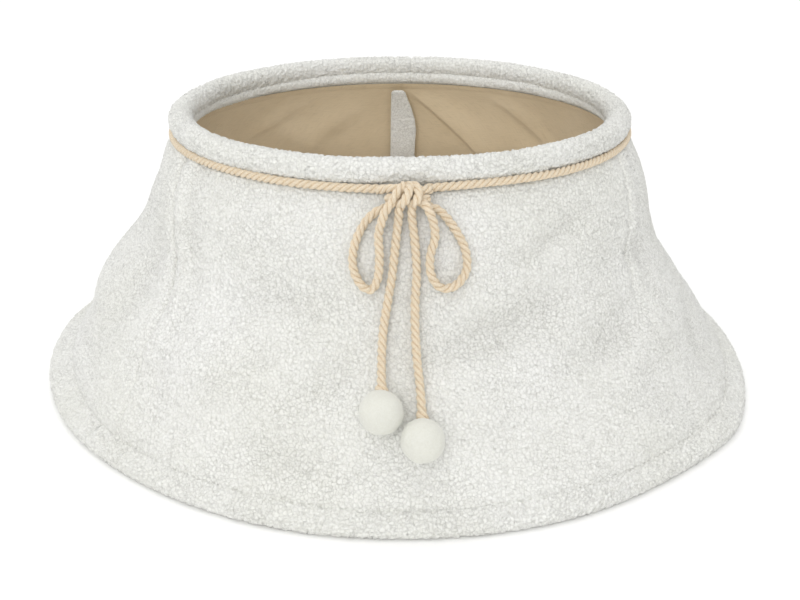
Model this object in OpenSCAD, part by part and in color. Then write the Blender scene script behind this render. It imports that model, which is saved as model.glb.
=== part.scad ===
// Tree skirt: a standing ring of boucle cloth with a rolled rim, a cased hem,
// a lining, a lapped opening at the back and a tied cord with two felt balls.
// Millimetres, +Z up, the bow faces -Y, the origin is the centre of the floor circle.

/* [Skirt] */
// Outer diameter of the hem
hem_d = 580; // [560:5:640]
// Overall height
height = 222; // [215:1:235]
// Outer diameter of the rim
rim_d = 364; // [350:2:372]
// Thickness of the rolled rim
roll_d = 19; // [17:0.5:20]
// Width of the stitched hem band
hem_band = 20; // [18:0.5:22]
// Thickness of the hem band
hem_t = 13; // [12:0.5:14]

/* [Cloth] */
// Thickness of the boucle with its pile
boucle_t = 7; // [6:0.5:7.5]
// Thickness of the stiff interlining
interlining_t = 2; // [1.5:0.5:2.5]
// Thickness of the lining cloth
lining_t = 1; // [0.8:0.1:1.2]
// Thickness of the cloth facing under the rim
facing_t = 4; // [3:0.5:4.5]
// Angle from the front to each side seam
seam_angle = 54; // [50:1:60]

/* [Back opening] */
// Angle from the back's centre line to the opening
opening_shift = 3.4; // [2.4:0.2:4]
// Angle of the flap that laps under the left half
lap_angle = 6.2; // [6:0.2:8]
// Angle of the flap that is sewn to the right half
root_angle = 2; // [1.6:0.2:3]
// Thickness of the flap
flap_t = 4.5; // [4:0.5:5]
// Width of the hook and loop tapes
tape_w = 13; // [10:1:13]
// Thickness of each tape's backing
tape_t = 0.9; // [0.8:0.1:1]

/* [Hoops] */
// Diameter of the rim hoop
rim_hoop_d = 5; // [4:0.5:5]
// Diameter of the hem hoop
hem_hoop_d = 4; // [3:0.5:4.5]
// Diameter of the caps on the hoop ends
cap_d = 7; // [6.5:0.5:8]
// Length of the caps on the hoop ends
cap_len = 12; // [8:1:16]

/* [Bow] */
// Diameter of the twisted cord
cord_d = 6.2; // [6:0.1:6.4]
// Diameter of the felt balls
ball_d = 29.4; // [28:0.2:30]
// Diameter of the knot
knot_d = 19; // [18:0.5:19.5]

/* [Hidden] */
$fn = 96;
slack = 100;                      // reach of cutting boxes past the cloth
rim_r = (rim_d - roll_d) / 2;     // centre line of the rolled rim
rim_z = height - roll_d / 2;

// Hem band: a rounded strip that leans in, with its lower edge flat on the floor
hem_lean = 40;
hem_sink = 1;                     // depth cut away to make the flat
hem_low = [hem_d / 2 - hem_t / 2, hem_t / 2 - hem_sink];
hem_high = hem_low + (hem_band - hem_t) * [-cos(hem_lean), sin(hem_lean)];

// Wall outline from neck to hem: [share of the wall's height, share of its spread]
wall_shape = [
    [1, 0], [0.93, 0.06], [0.85, 0.12], [0.76, 0.17], [0.67, 0.22], [0.57, 0.32],
    [0.47, 0.46], [0.37, 0.60], [0.26, 0.70], [0.16, 0.81], [0.07, 0.93], [0, 1]];
last = len(wall_shape) - 1;
hem_tuck = 0.55;                  // the layers close up where the hem band grips them
neck_from_roll = [10, -15.5];     // top of the wall, from the centre of the rolled rim
foot_from_hem = [3, 2];           // foot of the wall, from the hem band's upper centre
neck = [rim_r, rim_z] + neck_from_roll;
foot = hem_high + foot_from_hem;

function wall_pt(i) = [
    neck[0] + (foot[0] - neck[0]) * wall_shape[i][1],
    foot[1] + (neck[1] - foot[1]) * wall_shape[i][0]];
function unit(v) = v / norm(v);
function wall_run(i) = unit(wall_pt(min(i + 1, last)) - wall_pt(max(i - 1, 0)));
function inward(i) = [wall_run(i)[1], -wall_run(i)[0]];
function layer_pt(i, d) = wall_pt(i) + d * (i == last ? hem_tuck : 1) * inward(i);

// Neck cord, in a groove between the rim and the wall
cord_sunk = 0.9;                  // cord's centre line, in from the neck
cord_up = 3;                      // and above it
groove_depth = 3.5;
cord_r = neck[0] - cord_sunk;
cord_z = neck[1] + cord_up;
groove_r = neck[0] - groove_depth;
layers_up = 9;                    // the layers end inside the rolled rim, which trims them
layer_top = neck[1] + layers_up;

// Depths of the layers, measured in from the outer face of the boucle
inter_in = boucle_t;
lining_in = inter_in + interlining_t;
room_in = lining_in + lining_t;
facing_in = room_in + facing_t;
facing_down = 11;                 // from the neck down to the facing's lower edge
flap_down = 12;                   // to the flap's top
tape_down = 18;                   // to the tapes' tops
facing_low = neck[1] - facing_down;
flap_gap = 3;                     // space for the two tapes and their pile
flap_in = room_in + flap_gap;
flap_low = 30;
flap_high = neck[1] - flap_down;
tape_low = 36;
tape_high = neck[1] - tape_down;
tape_mid = 0.5;                   // x of the tapes' middle
tape_reach = 20;                  // angle each side of the back that the tapes are cut from

// Sectors, as angles about +Z from +X
front_a = 270 - seam_angle;
front_b = 270 + seam_angle;
joint_gap = 0.12;                 // angle that the side sectors draw back from every joint
opening = 90 - opening_shift;
left_a = opening + joint_gap;
left_b = front_a - joint_gap;
right_a = front_b + joint_gap;
right_b = 360 + opening - joint_gap;
end_wall = 0.6;                   // angle of casing that closes each hoop end

// Bow, tied a little to the right of the centre line
knot_down = 1;                    // its centre, below the cord's
knot_at = [cord_r - cord_d / 2 + knot_d / 2, cord_z - knot_down];
knot_mid = 271.5;
knot_half = 3.3;
ball_left_at = [-12, -260, 78];
ball_right_at = [14.5, -268, 62];
loop_left_route = [
    [-9, -190, 193], [-16, -191, 190], [-24, -193, 182], [-30, -198, 169], [-31, -202, 156],
    [-26, -206, 145], [-19, -208, 142], [-14.5, -207, 150], [-13.5, -203, 164],
    [-14, -200, 177], [-12, -200, 186], [-10, -199, 192]];
loop_right_route = [
    [19, -190, 194], [27, -190, 190], [36, -192, 179], [43, -196, 166], [44, -200, 153],
    [37, -205, 144], [27, -207, 143], [20.5, -206, 152], [20, -203, 164], [23, -200, 175],
    [22, -199, 185], [20, -199, 191]];
tail_left_route = [
    [-1, -196, 187], [-3, -200, 170], [-5, -205, 152], [-8, -211, 135], [-11, -220, 118],
    [-12, -232, 103], [-12, -244, 92], [-12, -251, 86]];
tail_right_route = [
    [8, -196, 187], [10, -200, 170], [11, -205, 152], [10, -211, 135], [10, -220, 118],
    [11, -232, 103], [13, -244, 88], [14, -254, 75], [14, -259, 70]];

boucle = "whitesmoke";
lining_cloth = "tan";
cord_yarn = "wheat";
hoop_plastic = "gainsboro";
felt = "ivory";

// ---- flat outlines, drawn as [radius, height] ----

// Turns a flat outline about +Z from angle a to angle b
module sector(a, b) {
    rotate([0, 0, a])
        rotate_extrude(angle = b - a)
            children();
}

module roll_outline() {
    translate([rim_r, rim_z]) circle(d = roll_d);
}

module hem_outline() {
    intersection() {
        union() {
            translate(hem_low) circle(d = hem_t);
            translate(hem_high) circle(d = hem_t);
            translate((hem_low + hem_high) / 2)
                rotate(-hem_lean)
                    square([hem_band - hem_t, hem_t], center = true);
        }
        square([hem_d, height]);
    }
}

module cord_outline() {
    translate([cord_r, cord_z]) circle(d = cord_d);
}

// Band of the wall between two depths
module band_outline(d_out, d_in) {
    polygon(concat(
        [[layer_pt(0, d_out)[0], layer_top]],
        [for (i = [0:last]) layer_pt(i, d_out)],
        [for (i = [last:-1:0]) layer_pt(i, d_in)],
        [[layer_pt(0, d_in)[0], layer_top]]));
}

// The boucle steps in under the rim, where the neck cord lies
module boucle_outline() {
    polygon(concat(
        [[groove_r, layer_top], [groove_r, neck[1]]],
        [for (i = [0:last]) layer_pt(i, 0)],
        [for (i = [last:-1:0]) layer_pt(i, inter_in)],
        [[layer_pt(0, inter_in)[0], layer_top]]));
}

module trimmed() {
    difference() {
        children();
        roll_outline();
        cord_outline();
        hem_outline();
    }
}

module between_heights(low, high) {
    intersection() {
        children();
        translate([0, low]) square([hem_d, high - low]);
    }
}

// ---- cloth ----

module outer_panel(a, b) {
    color(boucle) sector(a, b) trimmed() boucle_outline();
}

module interlining(a, b) {
    color("gainsboro") sector(a, b) trimmed() band_outline(inter_in, lining_in);
}

module lining(a, b) {
    color(lining_cloth) sector(a, b) trimmed() band_outline(lining_in, room_in);
}

module rim_facing(a, b) {
    color(boucle)
        sector(a, b)
            trimmed()
                between_heights(facing_low, layer_top)
                    band_outline(room_in, facing_in);
}

// ---- hoops and their casings ----

module hoop_outline(at, d) {
    translate(at) circle(d = d);
}

// Angle that a cap's length takes up at a radius
function cap_angle(at) = cap_len / at[0] * 180 / PI;

// Casing over a hoop. back is the angle of its closed end, or undef where both ends meet seams.
module casing(a, b, at, hoop_d, back) {
    side = back == a ? 1 : -1;
    difference() {
        sector(a, b) children();
        if (is_undef(back)) {
            sector(a, b) hoop_outline(at, hoop_d);
        } else {
            sector(back == a ? a + end_wall : a, back == a ? b : b - end_wall)
                hoop_outline(at, hoop_d);
            sector(
                min(back + side * end_wall, back + side * (end_wall + cap_angle(at))),
                max(back + side * end_wall, back + side * (end_wall + cap_angle(at))))
                hoop_outline(at, cap_d);
        }
    }
}

module rim_cover(a, b, back) {
    color(boucle) casing(a, b, [rim_r, rim_z], rim_hoop_d, back) roll_outline();
}

module hem_casing(a, b, back) {
    color(boucle) casing(a, b, hem_low, hem_hoop_d, back) hem_outline();
}

module rim_hoop(a, b) {
    color(hoop_plastic) sector(a, b) hoop_outline([rim_r, rim_z], rim_hoop_d);
}

module hem_hoop(a, b) {
    color(hoop_plastic) sector(a, b) hoop_outline(hem_low, hem_hoop_d);
}

// A cap is a sleeve with a closed end, over the last stretch of hoop
module hoop_cap(at, hoop_d, back, side) {
    near = back + side * end_wall;
    far = near + side * cap_angle(at);
    lip = near + side * end_wall;
    difference() {
        sector(min(near, far), max(near, far)) hoop_outline(at, cap_d);
        sector(min(lip, far), max(lip, far)) hoop_outline(at, hoop_d);
    }
}

module hoop_caps(back, side) {
    color("dimgray") {
        hoop_cap([rim_r, rim_z], rim_hoop_d, back, side);
        hoop_cap(hem_low, hem_hoop_d, back, side);
    }
}

// ---- back opening ----

// Slab of cloth between two x values, at the back
module back_slab(x_low, x_high) {
    intersection() {
        children();
        translate([x_low, slack, 0]) cube([x_high - x_low, hem_d, height]);
    }
}

// Strip inside the left half, with a thicker root sewn to the right half's lining
module closure_flap() {
    color(boucle) {
        sector(opening - root_angle, opening + lap_angle)
            between_heights(flap_low, flap_high)
                band_outline(flap_in, flap_in + flap_t);
        sector(opening - root_angle, opening - 2 * joint_gap)
            between_heights(flap_low, flap_high)
                band_outline(room_in, flap_in);
    }
}

module tape(d_out, d_in) {
    back_slab(tape_mid - tape_w / 2, tape_mid + tape_w / 2)
        sector(90 - tape_reach, 90 + tape_reach)
            between_heights(tape_low, tape_high)
                band_outline(d_out, d_in);
}

module hook_tape() {
    color("snow") tape(flap_in - tape_t, flap_in);
}

module loop_tape() {
    color("snow") tape(room_in, room_in + tape_t);
}

// ---- cord and bow ----

module neck_cord(a, b) {
    color(cord_yarn) sector(a, b) cord_outline();
}

// The front cord stops at each face of the knot
module neck_cord_front() {
    neck_cord(front_a, knot_mid - knot_half);
    neck_cord(knot_mid + knot_half, front_b);
}

module knot() {
    color(cord_yarn)
        sector(knot_mid - knot_half, knot_mid + knot_half)
            difference() {
                translate(knot_at) circle(d = knot_d);
                roll_outline();
                boucle_outline();
            }
}

// Smooth route through hand-set points, with `per` rings for each stretch
function spline(p0, p1, p2, p3, t) =
    0.5 * (2 * p1 + (p2 - p0) * t + (2 * p0 - 5 * p1 + 4 * p2 - p3) * t * t
        + (3 * p1 - p0 - 3 * p2 + p3) * t * t * t);
function route_pt(route, i) = route[max(0, min(len(route) - 1, i))];
function smooth(route, per) = concat(
    [for (i = [0:len(route) - 2], k = [0:per - 1])
        spline(route_pt(route, i - 1), route_pt(route, i), route_pt(route, i + 1),
            route_pt(route, i + 2), k / per)],
    [route[len(route) - 1]]);
function run_at(pts, i) = unit(pts[min(i + 1, len(pts) - 1)] - pts[max(i - 1, 0)]);
// The bow lies in a steep sheet that faces -Y, so every ring is squared to that direction
function ring(pts, i, r, sides) =
    let (t = run_at(pts, i), u = unit(cross(t, [0, -1, 0.2])), v = cross(t, u))
    [for (k = [0:sides - 1])
        pts[i] + r * (cos(360 * k / sides) * u + sin(360 * k / sides) * v)];

module tube(route, per, sides = 10) {
    pts = smooth(route, per);
    rings = len(pts);
    polyhedron(
        points = [for (i = [0:rings - 1]) each ring(pts, i, cord_d / 2, sides)],
        faces = concat(
            [[for (k = [0:sides - 1]) k]],
            [for (i = [0:rings - 2], k = [0:sides - 1])
                let (a = i * sides + k, b = i * sides + (k + 1) % sides)
                [b, a, a + sides, b + sides]],
            [[for (k = [sides - 1:-1:0]) (rings - 1) * sides + k]]));
}

module loop_left() { color(cord_yarn) tube(loop_left_route, 2); }
module loop_right() { color(cord_yarn) tube(loop_right_route, 2); }
module tail_left() { color(cord_yarn) tube(tail_left_route, 1); }
module tail_right() { color(cord_yarn) tube(tail_right_route, 1); }
module ball_left() { color(felt) translate(ball_left_at) sphere(d = ball_d); }
module ball_right() { color(felt) translate(ball_right_at) sphere(d = ball_d); }

// ---- the parts, one node each ----

outer_panel(front_a, front_b);  // outer_panel_front
outer_panel(left_a, left_b);  // outer_panel_left
outer_panel(right_a, right_b);  // outer_panel_right
interlining(front_a, front_b);  // interlining_front
interlining(left_a, left_b);  // interlining_left
interlining(right_a, right_b);  // interlining_right
lining(front_a, front_b);  // lining_front
lining(left_a, left_b);  // lining_left
lining(right_a, right_b);  // lining_right
rim_cover(front_a, front_b, undef);  // rim_cover_front
rim_cover(left_a, left_b, left_a);  // rim_cover_left
rim_cover(right_a, right_b, right_b);  // rim_cover_right
rim_facing(front_a, front_b);  // rim_facing_front
rim_facing(left_a, left_b);  // rim_facing_left
rim_facing(right_a, right_b);  // rim_facing_right
rim_hoop(front_a, front_b);  // rim_hoop_front
rim_hoop(left_a + 2 * end_wall, left_b);  // rim_hoop_left
rim_hoop(right_a, right_b - 2 * end_wall);  // rim_hoop_right
hem_casing(front_a, front_b, undef);  // hem_casing_front
hem_casing(left_a, left_b, left_a);  // hem_casing_left
hem_casing(right_a, right_b, right_b);  // hem_casing_right
hem_hoop(front_a, front_b);  // hem_hoop_front
hem_hoop(left_a + 2 * end_wall, left_b);  // hem_hoop_left
hem_hoop(right_a, right_b - 2 * end_wall);  // hem_hoop_right
hoop_caps(left_a, 1);  // hoop_caps_left
hoop_caps(right_b, -1);  // hoop_caps_right
closure_flap();
hook_tape();
loop_tape();
neck_cord_front();
neck_cord(left_a, left_b);  // neck_cord_left
neck_cord(right_a, right_b);  // neck_cord_right
knot();
loop_left();
loop_right();
tail_left();
tail_right();
ball_left();
ball_right();
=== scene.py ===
import math

import bmesh
import bpy
import numpy as np
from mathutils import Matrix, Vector


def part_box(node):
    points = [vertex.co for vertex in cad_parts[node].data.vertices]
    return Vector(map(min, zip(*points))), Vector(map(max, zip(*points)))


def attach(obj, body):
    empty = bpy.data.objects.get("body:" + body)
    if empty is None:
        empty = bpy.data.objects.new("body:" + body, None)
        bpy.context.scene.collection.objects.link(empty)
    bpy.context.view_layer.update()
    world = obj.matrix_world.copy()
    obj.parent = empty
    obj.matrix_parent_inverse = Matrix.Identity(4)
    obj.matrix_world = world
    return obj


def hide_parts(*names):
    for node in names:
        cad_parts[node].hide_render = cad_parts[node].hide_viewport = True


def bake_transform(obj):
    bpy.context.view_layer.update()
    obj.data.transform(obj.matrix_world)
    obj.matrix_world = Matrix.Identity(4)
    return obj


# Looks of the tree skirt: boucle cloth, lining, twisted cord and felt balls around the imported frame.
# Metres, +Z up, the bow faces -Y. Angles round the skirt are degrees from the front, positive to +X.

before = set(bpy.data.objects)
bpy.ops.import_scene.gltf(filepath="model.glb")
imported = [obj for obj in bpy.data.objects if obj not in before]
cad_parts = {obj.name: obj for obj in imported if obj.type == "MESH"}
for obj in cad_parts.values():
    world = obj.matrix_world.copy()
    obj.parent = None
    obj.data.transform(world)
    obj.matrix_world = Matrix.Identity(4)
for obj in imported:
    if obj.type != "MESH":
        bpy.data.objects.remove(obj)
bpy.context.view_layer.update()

MM = 0.001

# ---------------------------------------------------------------- sizes, from the frame

rim_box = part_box("rim_cover_left")
ROLL_R = (rim_box[1].z - rim_box[0].z) / 2
RIM_R = -rim_box[0].x - ROLL_R
RIM_Z = rim_box[1].z - ROLL_R
HEM_R = -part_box("hem_casing_left")[0].x
cord_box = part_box("neck_cord_left")
CORD_D = cord_box[1].z - cord_box[0].z
CORD_Z = (cord_box[1].z + cord_box[0].z) / 2
CORD_R = -cord_box[0].x - CORD_D / 2
SEAM = 54.0                       # side seams
OPENING = 176.6                   # back opening, a little to the right of the centre line
FRONT = (-SEAM, SEAM)
LEFT = (OPENING - 360, -SEAM)
RIGHT = (SEAM, OPENING)
SECTORS = {"front": FRONT, "left": LEFT, "right": RIGHT}

HEM_HALF = 6.5 * MM               # half the hem band's thickness
HEM_LEAN = math.radians(40)
HEM_LOW = np.array([HEM_R - HEM_HALF, HEM_HALF - 1 * MM])
HEM_SPAN = 7 * MM * np.array([-math.cos(HEM_LEAN), math.sin(HEM_LEAN)])
HEM_HIGH = HEM_LOW + HEM_SPAN

# Wall outline, as in the design: share of the height, share of the spread
WALL_SHAPE = [
    (1, 0), (0.93, 0.06), (0.85, 0.12), (0.76, 0.17), (0.67, 0.22), (0.57, 0.32),
    (0.47, 0.46), (0.37, 0.60), (0.26, 0.70), (0.16, 0.81), (0.07, 0.93), (0, 1)]
NECK = np.array([RIM_R + 10 * MM, RIM_Z - 15.5 * MM])
FOOT = HEM_HIGH + np.array([3, 2]) * MM

SURFACE = 0.4 * MM                # the pile stands out from here
DEPTH_INTERLINING = 7.2 * MM
DEPTH_LINING = 9.6 * MM
DEPTH_FLAP = 13 * MM
FLAP_THICK = 4.5 * MM

# ---------------------------------------------------------------- camera

CAMERA_AT = Vector((0, -0.943, 0.4344))
CAMERA_DOWN = math.radians(22.19)
camera_data = bpy.data.cameras.new("camera")
camera_data.sensor_width = 36
camera_data.lens = 54
camera_data.clip_start = 0.01
camera = bpy.data.objects.new("camera", camera_data)
camera.location = CAMERA_AT
camera.rotation_euler = (math.pi / 2 - CAMERA_DOWN, 0, 0)
bpy.context.collection.objects.link(camera)
bpy.context.scene.camera = camera

# ---------------------------------------------------------------- routes of the bow, in metres

LOOP_LEFT = np.array([
    [-9, -190, 193], [-16, -191, 190], [-24, -193, 182], [-30, -198, 169], [-31, -202, 156],
    [-26, -206, 145], [-19, -208, 142], [-14.5, -207, 150], [-13.5, -203, 164],
    [-14, -200, 177], [-12, -200, 186], [-10, -199, 192]]) * MM
LOOP_RIGHT = np.array([
    [19, -190, 194], [27, -190, 190], [36, -192, 179], [43, -196, 166], [44, -200, 153],
    [37, -205, 144], [27, -207, 143], [20.5, -206, 152], [20, -203, 164], [23, -200, 175],
    [22, -199, 185], [20, -199, 191]]) * MM
TAIL_LEFT = np.array([
    [-1, -196, 187], [-3, -200, 170], [-5, -205, 152], [-8, -211, 135], [-11, -220, 118],
    [-12, -232, 103], [-12, -244, 92], [-12, -251, 86]]) * MM
TAIL_RIGHT = np.array([
    [8, -196, 187], [10, -200, 170], [11, -205, 152], [10, -211, 135], [10, -220, 118],
    [11, -232, 103], [13, -244, 88], [14, -254, 75], [14, -259, 70]]) * MM
# Strands that make the knot: a band over the top, three that come down side by side in front, and
# two that fill the space behind them
KNOT = [np.array(p) * MM for p in (
    [[-15, -183, 202.5], [-9, -186, 204.5], [-3.5, -190.5, 206], [3, -193, 206.5],
     [9.5, -193, 206], [15.5, -189.5, 205], [20, -185, 203.5]],
    [[-7.5, -189.5, 199.5], [-5.5, -194, 199.5], [-4, -197.3, 201.2], [-2.2, -196.8, 204.6],
     [0.6, -193, 207.4], [3, -187.5, 207.6]],
    [[-1.5, -191, 198], [0.4, -197.5, 197.6], [2.6, -201.6, 200], [4.6, -201, 204],
     [6, -196, 207.6], [6.6, -189.5, 208.2]],
    [[6, -191, 198.6], [8, -197, 198], [10.4, -200.3, 200.2], [11.6, -198.6, 204],
     [11, -193.5, 207.2], [9, -187.5, 207.8]],
    [[-9, -190.5, 198.5], [-3, -192.5, 201], [5, -193.5, 202], [13, -192.5, 201], [19, -190.5, 198.5]],
    [[-6, -195, 197], [-1, -195.2, 198.6], [6, -195.6, 199.4], [12, -195, 198.6], [16.6, -195, 196.8]])]
# Where each rope of the bow runs on, into the knot
LEADS = {
    "loop_left": ([[-6, -191.2, 196.5]], [[-7, -198, 196.6], [-4.5, -195.5, 199.5]]),
    "loop_right": ([[15.6, -191, 197.4]], [[17.6, -198, 195.6], [14.5, -195.5, 198.6]]),
    "tail_left": ([[1, -194.5, 198.5], [-0.4, -196.6, 193.5]], []),
    "tail_right": ([[7.4, -194.5, 198.5], [7.9, -196.6, 193.5]], [])}


def with_leads(name, route):
    """The route with its short runs into the knot."""
    near, far = LEADS[name]
    return np.vstack([np.array(p).reshape(-1, 3) * scale
                      for p, scale in ((near, MM), (route, 1), (far, MM))])


def smooth_path(points, step):
    """Even points along a smooth curve through the given ones."""
    p = np.vstack([2 * points[0] - points[1], points, 2 * points[-1] - points[-2]])
    t = np.linspace(0, 1, 40, endpoint=False)[:, None]
    parts = []
    for i in range(1, len(p) - 2):
        a, b, c, d = p[i - 1:i + 3]
        parts.append(0.5 * (2 * b + (c - a) * t + (2 * a - 5 * b + 4 * c - d) * t ** 2
                            + (3 * b - a - 3 * c + d) * t ** 3))
    line = np.vstack(parts + [points[-1:]])
    return even(line, step)


def even(line, step):
    """The same line with points about step apart."""
    run = np.concatenate([[0], np.cumsum(np.linalg.norm(np.diff(line, axis=0), axis=1))])
    marks = np.linspace(0, run[-1], max(3, int(round(run[-1] / step)) + 1))
    return np.stack([np.interp(marks, run, line[:, k]) for k in range(line.shape[1])], 1)


def length_of(line):
    return float(np.linalg.norm(np.diff(line, axis=0), axis=1).sum())


# ---------------------------------------------------------------- seeded noise, from hashed cells

def chance(cell, salt):
    """A number from 0 to 1 for each whole-numbered cell (..., 3)."""
    n = (cell[..., 0] * 73856093) ^ (cell[..., 1] * 19349663) ^ (cell[..., 2] * 83492791)
    n = (n ^ (salt * 2654435761)) & 0xFFFFFFFF
    n = ((n ^ (n >> 15)) * 0x2C1B3C6D) & 0xFFFFFFFF
    n = ((n ^ (n >> 12)) * 0x297A2D39) & 0xFFFFFFFF
    n = n ^ (n >> 15)
    return n / 0xFFFFFFFF


def soft_noise(p, size, salt=1):
    """Smooth noise from -1 to 1 with features of about the given size."""
    q = p / size
    low = np.floor(q).astype(np.int64)
    f = q - low
    f = f * f * (3 - 2 * f)
    total = 0
    for corner in np.ndindex(2, 2, 2):
        c = np.array(corner)
        w = np.prod(np.where(c, f, 1 - f), axis=-1)
        total = total + w * chance(low + c, salt)
    return total * 2 - 1


def clumps(p, size, salt=1):
    """Distances to the nearest and second nearest scattered points, in units of size."""
    q = p / size
    low = np.floor(q).astype(np.int64)
    first = np.full(q.shape[:-1], 9.0)
    second = first.copy()
    for offset in np.ndindex(3, 3, 3):
        cell = low + (np.array(offset) - 1)
        point = cell + np.stack([chance(cell, salt + k) for k in range(3)], -1)
        d = np.linalg.norm(q - point, axis=-1)
        second = np.minimum(second, np.maximum(first, d))
        first = np.minimum(first, d)
    return first, second


CLUMP_SIZE = 2.7 * MM
CURL_SIZE = 1.5 * MM


def pile(p):
    """Height of the boucle's curls from 0 to 1 at each point."""
    warp = np.stack([soft_noise(p, 3 * MM, s) for s in (11, 12, 13)], -1) * 0.8 * MM
    q = p + warp
    f1, f2 = clumps(q, CLUMP_SIZE, 21)
    gap = np.clip((f2 - f1) / 0.28, 0, 1)
    dome = np.clip(1.12 - 0.9 * f1 ** 2, 0, 1) * (0.4 + 0.6 * gap)
    g1, g2 = clumps(q, CURL_SIZE, 31)
    curl = np.clip(1.1 - g1, 0, 1) * np.clip((g2 - g1) / 0.3, 0.3, 1)
    return np.clip(0.68 * dome + 0.38 * curl, 0, 1)


# ---------------------------------------------------------------- mesh building

def build(name, verts, faces, uvs=None, **marks):
    """A mesh object from points and equal-sided face lists. marks are numbers held on the points."""
    mesh = bpy.data.meshes.new(name)
    mesh.vertices.add(len(verts))
    mesh.vertices.foreach_set("co", np.asarray(verts, np.float32).ravel())
    corners = np.concatenate([np.asarray(f, np.int32).ravel() for f in faces])
    sizes = np.concatenate([np.full(len(f), f.shape[1], np.int32) for f in faces])
    mesh.loops.add(len(corners))
    mesh.loops.foreach_set("vertex_index", corners)
    mesh.polygons.add(len(sizes))
    mesh.polygons.foreach_set("loop_start", np.concatenate([[0], np.cumsum(sizes)[:-1]]).astype(np.int32))
    mesh.update(calc_edges=True)
    if uvs is not None:
        layer = mesh.uv_layers.new(name="cloth")
        layer.data.foreach_set("uv", np.asarray(uvs, np.float32).ravel())
    for key, values in marks.items():
        layer = mesh.attributes.new(key, "FLOAT", "POINT")
        layer.data.foreach_set("value", np.asarray(values, np.float32).ravel())
    mesh.shade_smooth()
    obj = bpy.data.objects.new(name, mesh)
    bpy.context.collection.objects.link(obj)
    return obj


def grid_faces(rows, cols, wrap=False):
    """Quads over a grid of points. wrap joins the last row to the first."""
    i = np.arange(rows if wrap else rows - 1)[:, None]
    j = np.arange(cols - 1)[None, :]
    k = (i + 1) % rows
    return np.stack(np.broadcast_arrays(
        i * cols + j, k * cols + j, k * cols + j + 1, i * cols + j + 1), -1).reshape(-1, 4)


def circle(count):
    """Points of a unit circle, which are its outward directions too."""
    t = np.linspace(0, 2 * np.pi, count, endpoint=False)
    return np.stack([np.cos(t), np.sin(t)], 1)


def fan_caps(points):
    """Ends for a tube: a middle point for each end, and triangles to it."""
    rows, cols = points.shape[:2]
    n = rows * cols
    i = np.arange(rows)
    k = (i + 1) % rows
    near = np.stack([np.full(rows, n), k * cols, i * cols], -1)
    far = np.stack([np.full(rows, n + 1), i * cols + cols - 1, k * cols + cols - 1], -1)
    return np.stack([points[:, 0].mean(0), points[:, -1].mean(0)]), [near, far]


def strip_caps(points):
    """Ends for a thin slab, whose second half of rows goes back along the first: quads across it."""
    rows, cols = points.shape[:2]
    i = np.arange(rows // 2 - 1)
    near = np.stack([i * cols, (rows - 1 - i) * cols, (rows - 2 - i) * cols, (i + 1) * cols], -1)
    far = near[:, ::-1] + cols - 1
    return [near, far]


def grid_piece(name, points, wrap=False, ends=None, uv=None, **marks):
    """A surface over a (rows, cols, 3) grid. wrap makes a tube along the columns. ends closes it,
    with a fan on a round tube or a strip on a thin slab."""
    rows, cols = points.shape[:2]
    quads = grid_faces(rows, cols, wrap)
    verts = points.reshape(-1, 3)
    faces = [quads]
    uvs = None
    if uv is not None:
        uvs = uv.reshape(-1, 2)[quads.ravel()]
    if ends == "fan":
        middles, caps = fan_caps(points)
        verts = np.vstack([verts, middles])
        faces += caps
        marks = {key: np.append(np.ravel(v), [0.5, 0.5]) for key, v in marks.items()}
    if ends == "strip":
        faces += strip_caps(points)
    return build(name, verts, faces, uvs, **marks)


# ---------------------------------------------------------------- shape of the wall

# Soft dents and swells of the cloth: angle, height, half length, half width, tilt, depth.
# Lengths are in millimetres, and the tilt is in degrees up to the right.
DENTS = [
    (-63, 109, 28, 26, 0, -4.0), (-26, 127, 36, 11, 9, -3.6), (-11, 86, 28, 12, 33, -4.0),
    (-17, 39, 34, 11, -8, -3.4), (20, 113, 56, 11, 9, -7.0), (33, 161, 36, 9, 20, -4.0),
    (44, 97, 54, 13, 14, -5.2), (60, 131, 36, 11, -10, -4.0), (70, 60, 40, 20, 20, -2.5),
    (41, 40, 42, 22, 0, 3.6), (-57, 40, 42, 26, 0, 3.2), (16, 186, 30, 8, 0, 1.6),
    (-18, 168, 30, 16, 0, 3.0), (-35, 88, 38, 20, 0, 3.6), (6, 66, 36, 22, 0, 2.2),
    (22, 138, 34, 12, 12, 2.4), (40, 70, 40, 14, 10, 2.2),
    (-90, 170, 40, 14, 20, -2.6), (-112, 120, 46, 16, -25, -4.6), (-138, 75, 50, 16, 18, -4.6),
    (-125, 40, 40, 20, 0, 3.4), (-150, 150, 40, 13, 30, -3.2), (96, 128, 46, 14, 22, -4.2),
    (118, 82, 52, 16, -20, -4.8), (140, 140, 40, 15, 16, -3.6), (150, 60, 44, 20, 0, 3.2),
    (104, 45, 40, 22, 0, 3.4)]
DENT_GAIN = 1.3                   # over the depths in the table
DENT_FALL = 1.1                   # how quickly a dent ends past its half length and width


def turn(angles, other):
    """Difference of angles in degrees, from -180 to 180."""
    return (angles - other + 180) % 360 - 180


def away_from_opening(angles):
    """0 near the back opening, 1 from 16 degrees off it."""
    return smooth_step((np.abs(turn(angles, OPENING)) - 6) / 10)


def relief(angles, heights, radius):
    """How far the cloth stands out from its plain outline, in metres."""
    a, z = np.broadcast_arrays(angles, heights)
    total = np.zeros(a.shape)
    for angle, height, half_long, half_wide, tilt, depth in DENTS:
        x = np.radians(turn(a, angle)) * radius
        y = z - height * MM
        c, s = math.cos(math.radians(tilt)), math.sin(math.radians(tilt))
        u = (x * c + y * s) / (half_long * MM)
        v = (-x * s + y * c) / (half_wide * MM)
        total = total + DENT_GAIN * depth * MM * np.exp(-DENT_FALL * (u * u + v * v))
    at = around(radius, a, z)
    total = total + 0.9 * MM * soft_noise(at, 52 * MM, 3) + 0.2 * MM * soft_noise(at, 23 * MM, 4)
    return total * away_from_opening(a)


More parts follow.
